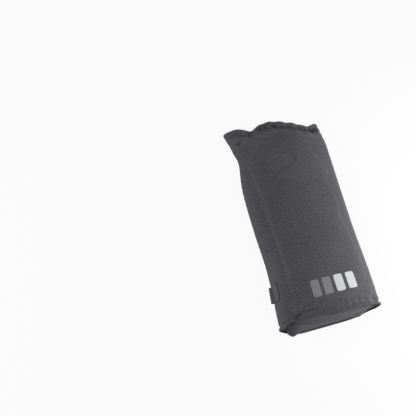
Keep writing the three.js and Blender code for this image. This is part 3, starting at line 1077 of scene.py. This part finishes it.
class Socket:
    """A node's output in an expression; each operator adds a Math node."""

    def __init__(self, nodes: "Nodes", socket: bpy.types.NodeSocket | None) -> None:
        """Wraps an output socket."""
        self.nodes = nodes
        self.socket = socket

    def __add__(self, other: "Socket | float") -> "Socket":
        """Sum."""
        return self.nodes.math("ADD", self, other)

    def __radd__(self, other: float) -> "Socket":
        """Sum with a number."""
        return self.nodes.math("ADD", other, self)

    def __mul__(self, other: "Socket | float") -> "Socket":
        """Product."""
        return self.nodes.math("MULTIPLY", self, other)

    def __rmul__(self, other: float) -> "Socket":
        """Product with a number."""
        return self.nodes.math("MULTIPLY", other, self)

    def __sub__(self, other: "Socket | float") -> "Socket":
        """Difference."""
        return self.nodes.math("SUBTRACT", self, other)

    def __rsub__(self, other: float) -> "Socket":
        """Difference from a number."""
        return self.nodes.math("SUBTRACT", other, self)

    def __truediv__(self, other: "Socket | float") -> "Socket":
        """Quotient."""
        return self.nodes.math("DIVIDE", self, other)

    def __rtruediv__(self, other: float) -> "Socket":
        """Quotient of a number."""
        return self.nodes.math("DIVIDE", other, self)

    def __abs__(self) -> "Socket":
        """Absolute value."""
        return self.nodes.math("ABSOLUTE", self)

    def above(self, other: "Socket | float") -> "Socket":
        """The larger of two values."""
        return self.nodes.math("MAXIMUM", self, other)

    def wave(self, pitch: float) -> "Socket":
        """Sine wave over this value, from -1 to 1, with crests a pitch apart."""
        return self.nodes.math("SINE", self * (2 * math.pi / pitch))

    def rise(self, low: float, high: float) -> "Socket":
        """Smooth rise from 0 at low to 1 at high."""
        values = {"Value": self, "From Min": low, "From Max": high}
        return self.nodes.node("ShaderNodeMapRange", {"interpolation_type": "SMOOTHSTEP"}, values)


class Nodes:
    """A node tree in the making; every node comes from its one method."""

    def __init__(self, tree: bpy.types.NodeTree) -> None:
        """Takes a tree."""
        self.tree = tree

    def node(self, kind: str, settings: dict, values: dict, output: int | str = 0) -> Socket:
        """Adds a node.

        Args:
            kind: the node's type.
            settings: its properties, set first.
            values: values or links of its sockets, by name or number.
            output: which output to give back.

        Returns:
            The chosen output, which is empty for a tree's end.
        """
        node = self.tree.nodes.new(kind)
        for key, value in settings.items():
            setattr(node, key, value)
        for key, value in values.items():
            self.feed(node.inputs[key], value)
        return Socket(self, node.outputs[output] if node.outputs else None)

    def feed(self, target: bpy.types.NodeSocket, value: object) -> None:
        """Links a value to an input, or sets it there; a colour is opaque."""
        if isinstance(value, Socket):
            self.tree.links.new(value.socket, target)
        else:
            target.default_value = (*value, 1.0) if target.type == "RGBA" else value

    def math(self, operation: str, *values: Socket | float) -> Socket:
        """Adds a Math node on values in their order."""
        return self.node("ShaderNodeMath", {"operation": operation}, dict(enumerate(values)))


def shown(red: int, green: int, blue: int) -> Colour:
    """Linear colour of an sRGB colour given in steps of 255."""
    parts = (value / 255 for value in (red, green, blue))
    return tuple(v / 12.92 if v <= 0.04045 else ((v + 0.055) / 1.055) ** 2.4 for v in parts)


class Finish(Nodes):
    """A material in the making."""

    def __init__(self, name: str, roughness: float, sheen: float = 0.0) -> None:
        """Makes a material with one Principled BSDF.

        Args:
            name: name of the material.
            roughness: roughness of the whole surface.
            sheen: sheen of the whole surface.
        """
        self.material = bpy.data.materials.new(name)
        self.material.use_nodes = True
        super().__init__(self.material.node_tree)
        self.shader = self.tree.nodes["Principled BSDF"]
        whole = {"Roughness": roughness, "Sheen Weight": sheen}
        whole |= {"Sheen Roughness": 0.5, "Specular IOR Level": 0.3}
        for key, value in whole.items():
            self.feed(self.shader.inputs[key], value)

    def own(self) -> tuple[Socket, Socket, Socket]:
        """The piece's own coordinates in metres: their vector, and both of its parts."""
        vector = self.node("ShaderNodeUVMap", {"uv_map": OWN}, {})
        split = self.node("ShaderNodeSeparateXYZ", {}, {0: vector})
        return vector, split, Socket(self, split.socket.node.outputs[1])

    def place(self) -> Socket:
        """Object coordinates."""
        return self.node("ShaderNodeTexCoord", {}, {}, "Object")

    def noise(
        self, vector: Socket, scale: float | tuple[float, float], detail: float = 2.0, roughness: float = 0.5,
    ) -> Socket:
        """Noise from 0 to 1.

        Args:
            vector: coordinates to lay it over.
            scale: its scale, or one scale for each of both own coordinates.
            detail: number of finer layers.
            roughness: weight of the finer layers.

        Returns:
            The noise.
        """
        if isinstance(scale, tuple):
            vector = self.node("ShaderNodeMapping", {}, {"Vector": vector, "Scale": (*scale, 1.0)})
            scale = 1.0
        values = {"Vector": vector, "Scale": scale, "Detail": detail, "Roughness": roughness}
        return self.node("ShaderNodeTexNoise", {}, values)

    def mix(self, factor: Socket, first: Socket | Colour, second: Socket | Colour) -> Socket:
        """Mix of two colours, whose sockets are the Mix node's seventh and eighth."""
        return self.node("ShaderNodeMix", {"data_type": "RGBA"}, {0: factor, 6: first, 7: second}, 2)

    def surface(
        self, colour: Socket, rough: Socket, height: Socket, distance: float, strength: float,
    ) -> Material:
        """Feeds the shader.

        Args:
            colour: base colour.
            rough: roughness.
            height: height of the relief, in units of distance.
            distance: that unit, in metres.
            strength: strength of the relief.

        Returns:
            The finished material.
        """
        values = {"Height": height, "Distance": distance, "Strength": strength}
        normal = self.node("ShaderNodeBump", {}, values)
        for key, value in (("Base Color", colour), ("Roughness", rough), ("Normal", normal)):
            self.feed(self.shader.inputs[key], value)
        return self.material


@dataclass(frozen=True)
class Print:
    """Plain two-tone reflective blocks on the front panel, in the cloth's own coordinates (metres)."""

    middle: tuple[float, float]
    tilt: float = math.radians(3.0)
    pitch: float = 0.0232
    block: tuple[float, float] = (0.0165, 0.0285)
    round_by: float = 0.0036
    blocks: int = 4
    edge: float = 0.00025
    dull: Colour = shown(140, 140, 143)
    bright: Colour = shown(228, 229, 233)

    def masks(self, finish: Finish, u: Socket, v: Socket) -> tuple[Socket, Socket]:
        """Where the print is, and where it is bright.

        Args:
            finish: the material in the making.
            u: place across the cloth, in metres.
            v: place up the cloth.

        Returns:
            A mask of the blocks, and one of the bright half.
        """
        cos, sin = math.cos(self.tilt), math.sin(self.tilt)
        across = (u - self.middle[0]) * cos + (v - self.middle[1]) * sin
        up = (v - self.middle[1]) * cos - (u - self.middle[0]) * sin
        half = self.blocks * self.pitch / 2
        cell = finish.math("FRACT", (across + half) / self.pitch) - 0.5
        dx = (abs(cell * self.pitch) - (self.block[0] / 2 - self.round_by)).above(0.0)
        dy = (abs(up) - (self.block[1] / 2 - self.round_by)).above(0.0)
        corner = finish.math("SQRT", dx * dx + dy * dy)
        mask = 1.0 - corner.rise(self.round_by - self.edge, self.round_by + self.edge)
        inside = 1.0 - abs(across).rise(half - self.edge, half + self.edge)
        return mask * inside, across.rise(-self.edge, self.edge)


@dataclass(frozen=True)
class WovenCloth:
    """Coated outer cloth: a plain weave of thick textured yarn."""

    name: str = "woven_polyester"
    dark: Colour = shown(71, 70, 73)
    light: Colour = shown(105, 104, 109)
    yarn: float = 0.0006
    slub: tuple[float, float] = (1400.0, 60.0)
    roughness: float = 0.78
    sheen: float = 0.12
    relief: float = 0.00011
    coat_print: Print | None = None

    def make(self) -> Material:
        """Makes the material."""
        finish = Finish(self.name, self.roughness, self.sheen)
        vector, u, v = finish.own()
        warp, weft = u.wave(2 * self.yarn), v.wave(2 * self.yarn)
        over = warp * weft
        weave = over * 0.5 + abs(warp).above(abs(weft)) * 0.5
        slub = finish.noise(vector, self.slub) * 0.5 + finish.noise(vector, self.slub[::-1]) * 0.5
        grain = finish.noise(vector, (330.0, 330.0), 4.0, 0.85)
        broad = finish.noise(finish.place(), 16.0, 3.0, 0.6)
        tone = (slub * 0.25 + grain * 0.85 + broad * 0.15 + over * 0.05 - 0.125).rise(0.36, 0.68)
        colour = finish.mix(tone, self.dark, self.light)
        rough = broad * 0.08 + (self.roughness - 0.04)
        height = weave * 0.8 + grain * 3.0
        if self.coat_print is not None:
            mask, bright = self.coat_print.masks(finish, u, v)
            ink = finish.mix(bright, self.coat_print.dull, self.coat_print.bright)
            worn = (grain * 0.5 + slub * 0.5).rise(0.2, 0.42)
            colour = finish.mix(mask * (worn * 0.25 + 0.75), colour, ink)
            rough = rough - mask * 0.22
            height = height * (1.0 - mask * 0.6) + mask * 0.9
        return finish.surface(colour, rough, height, self.relief, 0.7)


@dataclass(frozen=True)
class LiningCloth:
    """Smooth dark lining of fine close weave."""

    name: str = "smooth_lining"
    dark: Colour = shown(30, 30, 32)
    light: Colour = shown(44, 44, 47)
    yarn: float = 0.0003

    def make(self) -> Material:
        """Makes the material."""
        finish = Finish(self.name, 0.5, 0.2)
        vector, u, v = finish.own()
        weave = u.wave(2 * self.yarn) * v.wave(2 * self.yarn)
        folds = finish.noise(vector, (90.0, 30.0), 3.0)
        broad = finish.noise(finish.place(), 22.0, 3.0)
        # the tone follows the folds: painted shade in their hollows and painted highlight on their crests,
        # mixed with a broad random tone
        colour = finish.mix((folds * 0.5 + broad * 0.5).rise(0.3, 0.7), self.dark, self.light)
        return finish.surface(colour, folds * 0.15 + 0.42, weave * 0.1 + folds, 0.0005, 0.6)


@dataclass(frozen=True)
class Foam:
    """Open-cell foam, dark grey."""

    name: str = "padding_foam"
    dark: Colour = shown(42, 42, 45)
    light: Colour = shown(66, 66, 70)

    def make(self) -> Material:
        """Makes the material."""
        finish = Finish(self.name, 0.95)
        where = finish.place()
        cells = finish.node("ShaderNodeTexVoronoi", {}, {"Vector": where, "Scale": 900.0}, "Distance")
        pores = cells.rise(0.1, 0.6)
        broad = finish.noise(where, 40.0, 3.0)
        # the pores are darker where they sink, as painted shade in their hollows, mixed with a broad random
        # tone
        colour = finish.mix(pores * 0.6 + broad * 0.4, self.dark, self.light)
        return finish.surface(colour, broad * 0.08 + 0.9, pores, 0.0004, 0.8)


@dataclass(frozen=True)
class RibbonWeave:
    """Woven ribbon of the label, ribbed across, with plain lines along both edges."""

    name: str = "label_ribbon"
    dark: Colour = shown(82, 82, 82)
    light: Colour = shown(101, 101, 101)
    rib: float = 0.0007
    selvage: tuple[float, float] = (0.0118, 0.0122)

    def make(self) -> Material:
        """Makes the material."""
        finish = Finish(self.name, 0.7, 0.2)
        vector, u, v = finish.own()
        ribs = v.wave(self.rib) * 0.5 + 0.5
        threads = u.wave(0.5 * self.rib) * 0.5 + 0.5
        fuzz = finish.noise(vector, (900.0, 900.0))
        selvage = abs(u).rise(*self.selvage)
        tone = (ribs * 0.35 + threads * 0.15 + fuzz * 0.5) * (1.0 - selvage * 0.4)
        height = ribs * 0.6 + threads * 0.4 + selvage * 0.8
        return finish.surface(finish.mix(tone, self.dark, self.light), fuzz * 0.2 + 0.6, height, 0.00015, 0.8)


@dataclass(frozen=True)
class ElasticWeave:
    """Ribbed woven elastic, black."""

    name: str = "ribbed_elastic"
    dark: Colour = shown(22, 22, 24)
    light: Colour = shown(44, 44, 47)
    rib: float = 0.0013

    def make(self) -> Material:
        """Makes the material."""
        finish = Finish(self.name, 0.8)
        vector, u, v = finish.own()
        ribs = v.wave(self.rib) * 0.5 + 0.5
        cross = u.wave(0.8 * self.rib) * 0.5 + 0.5
        fuzz = finish.noise(vector, (700.0, 700.0))
        colour = finish.mix(ribs * 0.6 + fuzz * 0.4, self.dark, self.light)
        return finish.surface(colour, fuzz * 0.15 + 0.75, ribs * 0.7 + cross * 0.3, 0.0003, 0.9)


@dataclass(frozen=True)
class Thread:
    """Twisted sewing thread."""

    name: str = "sewing_thread"
    dark: Colour = shown(52, 52, 55)
    light: Colour = shown(92, 92, 97)

    def make(self) -> Material:
        """Makes the material."""
        finish = Finish(self.name, 0.6, 0.2)
        where = finish.place()
        twist, along = finish.noise(where, 2600.0), finish.noise(where, 160.0)
        colour = finish.mix(twist * 0.7 + along * 0.3, self.dark, self.light)
        return finish.surface(colour, twist * 0.2 + 0.5, twist, 0.00008, 0.8)


@dataclass
class Stitching:
    """Rows of stitches, laid by Geometry Nodes along polylines on the cloth; sizes in metres."""

    name: str
    lines: list[tuple[Array, Array]]
    material: Material
    pitch: float = 0.0034
    long: float = 0.0025
    thick: float = 0.0006
    normal: str = "cloth_normal"

    def guide(self) -> Piece:
        """The lines as edges, with the cloth's normal kept on their points."""
        points, normals, edges = [], [], []
        for line, out in self.lines:
            first = len(points)
            points += (line * MM).tolist()
            normals += out.tolist()
            edges += [(first + k, first + k + 1) for k in range(len(line) - 1)]
        mesh = bpy.data.meshes.new(self.name)
        mesh.from_pydata(points, edges, [])
        kept = mesh.attributes.new(self.normal, "FLOAT_VECTOR", "POINT")
        kept.data.foreach_set("vector", np.array(normals).reshape(-1))
        return placed(self.name, mesh)

    def tree(self) -> bpy.types.GeometryNodeTree:
        """Node tree that lays one stitch at each pitch of the lines."""
        tree = bpy.data.node_groups.new(self.name, "GeometryNodeTree")
        kinds = {"Geometry": "Geometry"} | dict.fromkeys(("Pitch", "Long", "Thick"), "Float")
        kinds["Thread"] = "Material"
        for label, kind in kinds.items():
            tree.interface.new_socket(label, in_out="INPUT", socket_type=f"NodeSocket{kind}")
        tree.interface.new_socket("Geometry", in_out="OUTPUT", socket_type="NodeSocketGeometry")
        add = Nodes(tree).node
        lines, pitch, long, thick, thread = (add("NodeGroupInput", {}, {}, label) for label in kinds)
        curve = add("GeometryNodeMeshToCurve", {}, {"Mesh": lines})
        even = add("GeometryNodeResampleCurve", {"mode": "LENGTH"}, {"Curve": curve, "Length": pitch})
        bead = add("GeometryNodeMeshUVSphere", {}, {"Segments": 6, "Rings": 5, "Radius": 0.5})
        size = add("ShaderNodeCombineXYZ", {}, {0: long, 1: thick, 2: thick})
        stitch = add("GeometryNodeTransform", {}, {"Geometry": bead, "Scale": size})
        align = "FunctionNodeAlignRotationToVector"
        along = add(align, {"axis": "X"}, {"Vector": add("GeometryNodeInputTangent", {}, {})})
        named = {"data_type": "FLOAT_VECTOR"}
        normal = add("GeometryNodeInputNamedAttribute", named, {"Name": self.normal}, "Attribute")
        out = add(align, {"axis": "Z", "pivot_axis": "X"}, {"Rotation": along, "Vector": normal})
        row = add("GeometryNodeInstanceOnPoints", {}, {"Points": even, "Instance": stitch, "Rotation": out})
        smooth = add("GeometryNodeSetShadeSmooth", {}, {"Geometry": row})
        real = add("GeometryNodeRealizeInstances", {}, {"Geometry": smooth})
        sewn = add("GeometryNodeSetMaterial", {}, {"Geometry": real, "Material": thread})
        add("NodeGroupOutput", {}, {"Geometry": sewn})
        return tree

    def build(self) -> Piece:
        """Builds the stitches as a plain mesh."""
        guide = self.guide()
        modifier = guide.modifiers.new("stitches", "NODES")
        modifier.node_group = self.tree()
        given = {"Pitch": self.pitch, "Long": self.long, "Thick": self.thick, "Thread": self.material}
        for item in modifier.node_group.interface.items_tree:
            if item.in_out == "INPUT" and item.name in given:
                modifier[item.identifier] = given[item.name]
        evaluated = guide.evaluated_get(bpy.context.evaluated_depsgraph_get())
        baked = bpy.data.meshes.new_from_object(evaluated)
        guide.modifiers.remove(modifier)
        guide.data = baked
        baked.name = self.name
        if self.normal in baked.attributes:
            baked.attributes.remove(baked.attributes[self.normal])
        return guide


def seam_line(pattern: Pattern, arch: Arch, height: float) -> tuple[Array, Array]:
    """Line of a seam across the outer face of an arch, for thread that lies on the cloth.

    Args:
        pattern: the cloth's lie.
        arch: which arch.
        height: height of the seam above the bottom seam.

    Returns:
        Its points in millimetres, and the cloth's outward normals there.
    """
    share = np.linspace(SEAM_END, 1 - SEAM_END, SEAM_POINTS)
    rows = np.array([height - SEAM_ROW, height, height + SEAM_ROW])
    grid = pattern.points(arch, share, rows, np.zeros(3))
    out = unit(np.cross(np.gradient(grid, axis=0)[:, 1], grid[:, 2] - grid[:, 0]))
    if arch is Arch.BACK:
        out = -out
    return grid[:, 1] + out * THREAD_LIFT, out


@dataclass(frozen=True)
class Lamp:
    """A soft square lamp that looks at the sleeve: its place and side in metres, its power in watts."""

    name: str
    at: tuple[float, float, float]
    side: float
    power: float

    def make(self) -> None:
        """Makes the lamp."""
        data = bpy.data.lights.new(self.name, "AREA")
        data.shape = "SQUARE"
        data.size = self.side
        data.energy = self.power
        lamp = placed(self.name, data)
        lamp.location = self.at
        lamp.rotation_mode = "QUATERNION"
        lamp.rotation_quaternion = Vector(self.at).to_track_quat("Z", "Y")


@dataclass(frozen=True)
class Studio:
    """Floor, light and camera; the camera's numbers are in millimetres, the floor's in metres."""

    camera_at: tuple[float, float, float] = (-672.59, -552.27, 1755.11)
    camera_up: tuple[float, float, float] = (0.14181, 0.92174, 0.36095)
    camera_to: tuple[float, float, float] = (-161.85, 44.69, 30.0)
    focal_pixels: float = 1100.0
    picture: int = 416
    sensor: float = 36.0
    # a low key near the right side, a fill from the left and a weak lamp beyond the bottom end
    lamps: tuple[Lamp, ...] = (
        Lamp("key", (0.58, -0.19, 0.25), 0.35, 4.5),
        Lamp("fill", (-1.3, 0.1, 0.9), 0.9, 11.8),
        Lamp("low", (0.35, -0.75, 0.75), 0.6, 0.35),
    )
    ambient: float = 0.15
    floor_size: float = 3.0
    floor_level: float = -0.0004
    floor_glow: float = 0.92

    def camera(self) -> None:
        """Makes the camera at the photograph's angle."""
        data = bpy.data.cameras.new("camera")
        data.sensor_width = self.sensor
        data.lens = self.focal_pixels / self.picture * self.sensor
        camera = placed("camera", data)
        at = Vector(self.camera_at) * MM
        back = (at - Vector(self.camera_to) * MM).normalized()
        right = Vector(self.camera_up).cross(back).normalized()
        aim = Matrix((right, back.cross(right), back)).transposed().to_4x4()
        camera.matrix_world = Matrix.Translation(at) @ aim
        bpy.context.scene.camera = camera

    def light(self) -> None:
        """Lights the scene with its lamps and an even surround, which is white where it is seen."""
        for lamp in self.lamps:
            lamp.make()
        world = bpy.data.worlds.new("surround")
        bpy.context.scene.world = world
        world.use_nodes = True
        nodes = Nodes(world.node_tree)
        around = nodes.tree.nodes["Background"]
        nodes.feed(around.inputs["Color"], WHITE)
        nodes.feed(around.inputs["Strength"], self.ambient)
        seen = nodes.node("ShaderNodeBackground", {}, {"Color": WHITE, "Strength": 1.0})
        camera = nodes.node("ShaderNodeLightPath", {}, {}, "Is Camera Ray")
        through = nodes.node("ShaderNodeLightPath", {}, {}, "Is Transmission Ray")
        either = {0: camera.above(through), 1: Socket(nodes, around.outputs[0]), 2: seen}
        mixed = nodes.node("ShaderNodeMixShader", {}, either)
        nodes.feed(nodes.tree.nodes["World Output"].inputs["Surface"], mixed)

    def floor(self) -> None:
        """Makes the pale floor under the sleeve; seen directly, it is near white and keeps a soft shadow."""
        half = self.floor_size / 2
        signs = ((-1, -1), (1, -1), (1, 1), (-1, 1))
        mesh = bpy.data.meshes.new("floor")
        mesh.from_pydata([(x * half, y * half, self.floor_level) for x, y in signs], [], [(0, 1, 2, 3)])
        floor = placed("floor", mesh)
        finish = Finish("pale_floor", 0.9)
        finish.feed(finish.shader.inputs["Base Color"], (0.9, 0.9, 0.9))
        glow = finish.node("ShaderNodeEmission", {}, {"Color": WHITE, "Strength": 1.0})
        seen = finish.node("ShaderNodeLightPath", {}, {}, "Is Camera Ray") * self.floor_glow
        either = {0: seen, 1: Socket(finish, finish.shader.outputs[0]), 2: glow}
        mixed = finish.node("ShaderNodeMixShader", {}, either)
        finish.feed(finish.tree.nodes["Material Output"].inputs["Surface"], mixed)
        mesh.materials.append(finish.material)


def dress(piece: Piece, slot: Slot, material: Material, nodes: Sequence[str] = ()) -> None:
    """Gives a piece its finish and its body, hides the CAD nodes that it replaces and logs it.

    Args:
        piece: the piece.
        slot: its material slot, which is only logged.
        material: its finish.
        nodes: CAD nodes that it replaces.
    """
    if not piece.data.materials:
        piece.data.materials.append(material)
    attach(piece, BODY)
    if nodes:
        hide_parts(*nodes)
    log.info("%s: %d faces, %s", piece.name, len(piece.data.polygons), slot.value)


@dataclass
class ForkProtector:
    """The whole sleeve; sizes in millimetres, and the linings' flat widths and height in metres."""

    pattern: Pattern = field(default_factory=Pattern)
    front_columns: int = 161
    back_columns: int = 91
    layer_columns: int = 73
    layer_low: float = 10.5
    layer_high: float = 340.0
    lining_depth: float = 7.4
    lining_top_depth: float = 5.1
    lining_thick: float = 0.7
    # the lining steps out over the foam's upper end: heights of the step, its first depth, heights above it
    lining_step: tuple[float, float] = (341.0, 344.0)
    lining_step_depth: float = 6.8
    lining_top: tuple[float, ...] = (345.3, 346.6, 347.9)
    lining_row: float = 4.0
    lining_widths: tuple[float, float] = (0.206, 0.188)
    lining_height: float = 0.338
    hem_stitch_below: float = 12.5
    welt_stitch_height: float = 3.2
    print_height: float = 46.0
    print_x: float = 9.0

    def outer(self, cloth: Material, printed: Material) -> None:
        """Builds the front and the back of the outer cloth.

        Args:
            cloth: finish of the back.
            printed: finish of the front, with the print.
        """
        front = BodyCloth(Arch.FRONT, self.pattern, self.front_columns).build()
        dress(front, Slot.CLOTH, printed, ["front_panel"])
        back = BodyCloth(Arch.BACK, self.pattern, self.back_columns).build()
        dress(back, Slot.CLOTH, cloth, ["back_panel"])

    def padding(self, foam: Material) -> None:
        """Builds the foam of both arches and of the bottom."""
        path = slab_path(self.layer_low, self.layer_high, depth=4.0, thick=4.8, step=4.0, round_by=1.5)
        for arch in Arch:
            wall = SoftWall(f"{arch.value}_foam", self.pattern, self.layer_columns, path).build(arch)
            dress(wall, Slot.FOAM, foam, [f"{arch.value}_padding"])
        bottom = BottomPiece("bottom_foam", self.pattern, low=5.1, thick=4.6, depth=3.7).build()
        dress(bottom, Slot.FOAM, foam, ["bottom_padding"])

    def linings(self, lining: Material) -> None:
        """Builds the lining of both arches and of the bottom."""
        rows = np.concatenate([np.arange(self.layer_low, self.layer_high, self.lining_row), [self.layer_high]])
        height = np.concatenate([rows, np.linspace(*self.lining_step, 4), self.lining_top])
        step = np.linspace(self.lining_step_depth, self.lining_top_depth, 4)
        above = np.full(len(self.lining_top), self.lining_top_depth)
        depth = np.concatenate([np.full(len(rows), self.lining_depth), step, above])
        path = Section(height, depth, self.lining_thick)
        for arch, wide in zip(Arch, self.lining_widths):
            wall = SoftWall(f"{arch.value}_inner_cloth", self.pattern, self.layer_columns, path).build(arch)
            dress(wall, Slot.LINING, lining, [f"{arch.value}_lining"])
        thick = self.lining_thick
        bottom = BottomPiece("bottom_inner_cloth", self.pattern, low=10.6, thick=thick, depth=8.3).build()
        dress(bottom, Slot.LINING, lining, ["bottom_lining"])

    def hem(self, elastic: Material) -> None:
        """Builds the elastic in the hem."""
        lie = self.pattern.lie
        path = slab_path(lie.elastic_start, lie.elastic_top, depth=2.1, thick=1.1, step=1.3, round_by=0.6)
        band = SoftWall("hem_elastic", self.pattern, self.layer_columns, path).build(None)
        dress(band, Slot.ELASTIC, elastic, ["mouth_elastic"])

    def bottom(self, cloth: Material) -> None:
        """Builds the bottom panel, set in behind the welt."""
        panel = BottomPiece(
            "bottom_cloth", self.pattern, low=3.5, thick=0.9, depth=2.3, front_columns=self.front_columns,
            back_columns=self.back_columns, rings=36, rise_to=9.6,
        ).build()
        dress(panel, Slot.CLOTH, cloth, ["bottom_panel"])

    def label(self, ribbon: Material) -> None:
        """Builds the woven label in the left side seam."""
        dress(SeamLabel(self.pattern).build(), Slot.RIBBON, ribbon, ["side_label"])

    def stitches(self, thread: Material) -> None:
        """Sews the hem and the welt."""
        hem = self.pattern.lie.length - self.hem_stitch_below
        for name, height in (("hem_stitches", hem), ("welt_stitches", self.welt_stitch_height)):
            lines = [seam_line(self.pattern, arch, height) for arch in Arch]
            dress(Stitching(name, lines, thread).build(), Slot.CLOTH, thread)

    def print_place(self) -> Print:
        """Place of the print, in the cloth's own coordinates."""
        share = np.linspace(0, 1, 401)
        points = self.pattern.points(Arch.FRONT, share, np.array([self.print_height]), np.zeros(1))[:, 0]
        centre = float(np.interp(self.print_x, points[:, 0], share))
        section = BodyCloth(Arch.FRONT, self.pattern, self.front_columns).section()
        outside = section.depth < 0.5
        up = float(np.interp(self.print_height, section.height[outside], section.faces()[2][outside]))
        return Print(((centre - 0.5) * ARC[Arch.FRONT] * MM, up * MM))

    def build(self) -> None:
        """Builds every piece and dresses it."""
        self.pattern.make(Settling())
        cloth = WovenCloth().make()
        self.outer(cloth, WovenCloth(name="printed_polyester", coat_print=self.print_place()).make())
        self.padding(Foam().make())
        self.linings(LiningCloth().make())
        self.hem(ElasticWeave().make())
        self.bottom(cloth)
        self.label(RibbonWeave().make())
        self.stitches(Thread().make())


def main() -> None:
    """Builds the sleeve and its studio."""
    logging.basicConfig(level=logging.INFO, format="%(name)s: %(message)s")
    bpy.context.scene.view_settings.view_transform = "Standard"
    studio = Studio()
    studio.camera()
    studio.floor()
    studio.light()
    ForkProtector().build()


if __name__ == "__main__":
    main()
